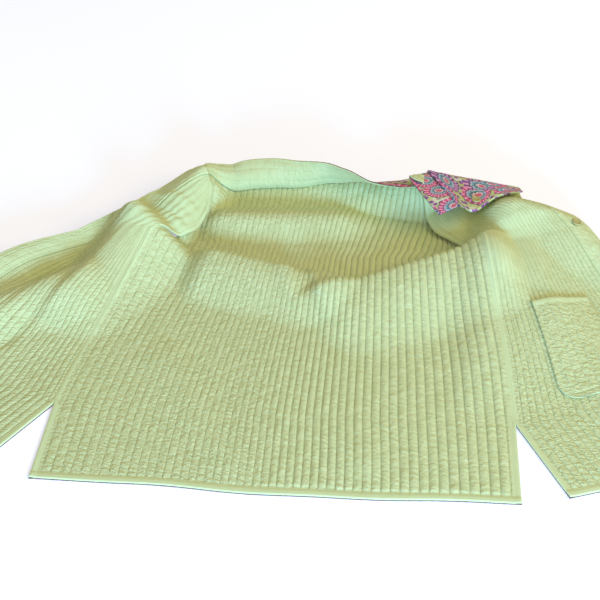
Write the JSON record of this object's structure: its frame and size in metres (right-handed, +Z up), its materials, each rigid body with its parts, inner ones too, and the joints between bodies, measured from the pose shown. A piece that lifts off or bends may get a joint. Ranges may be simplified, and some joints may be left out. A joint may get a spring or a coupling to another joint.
{
  "type": "quilted jacket",
  "caption": "Reversible quilted cotton jacket with a stand collar, laid open on its back with the plain face up, one front corner turned to show the printed face",
  "frame": {"origin": "on the surface the jacket lies on, under the middle of its bounding box", "axes": "+X towards the wearer's left front, +Y from the hem to the collar, +Z up from the surface it lies on"},
  "size_m": [1.18, 0.5738, 0.0666],
  "materials": {
    "plain_cloth": "matte quilted cotton",
    "printed_cloth": "matte printed cotton",
    "button": "satin"
  },
  "bodies": {
    "root": {"back": "plain_cloth", "front_left": "plain_cloth", "front_right": "plain_cloth", "front_band_left": "plain_cloth", "front_band_right": "plain_cloth", "front_corner_left": "printed_cloth", "collar": "plain_cloth", "pocket": "plain_cloth", "sleeve_left": "printed_cloth", "sleeve_right": "printed_cloth", "button_1": "button", "button_2": "button", "button_3": "button", "button_4": "button"}
  },
  "joints": []
}
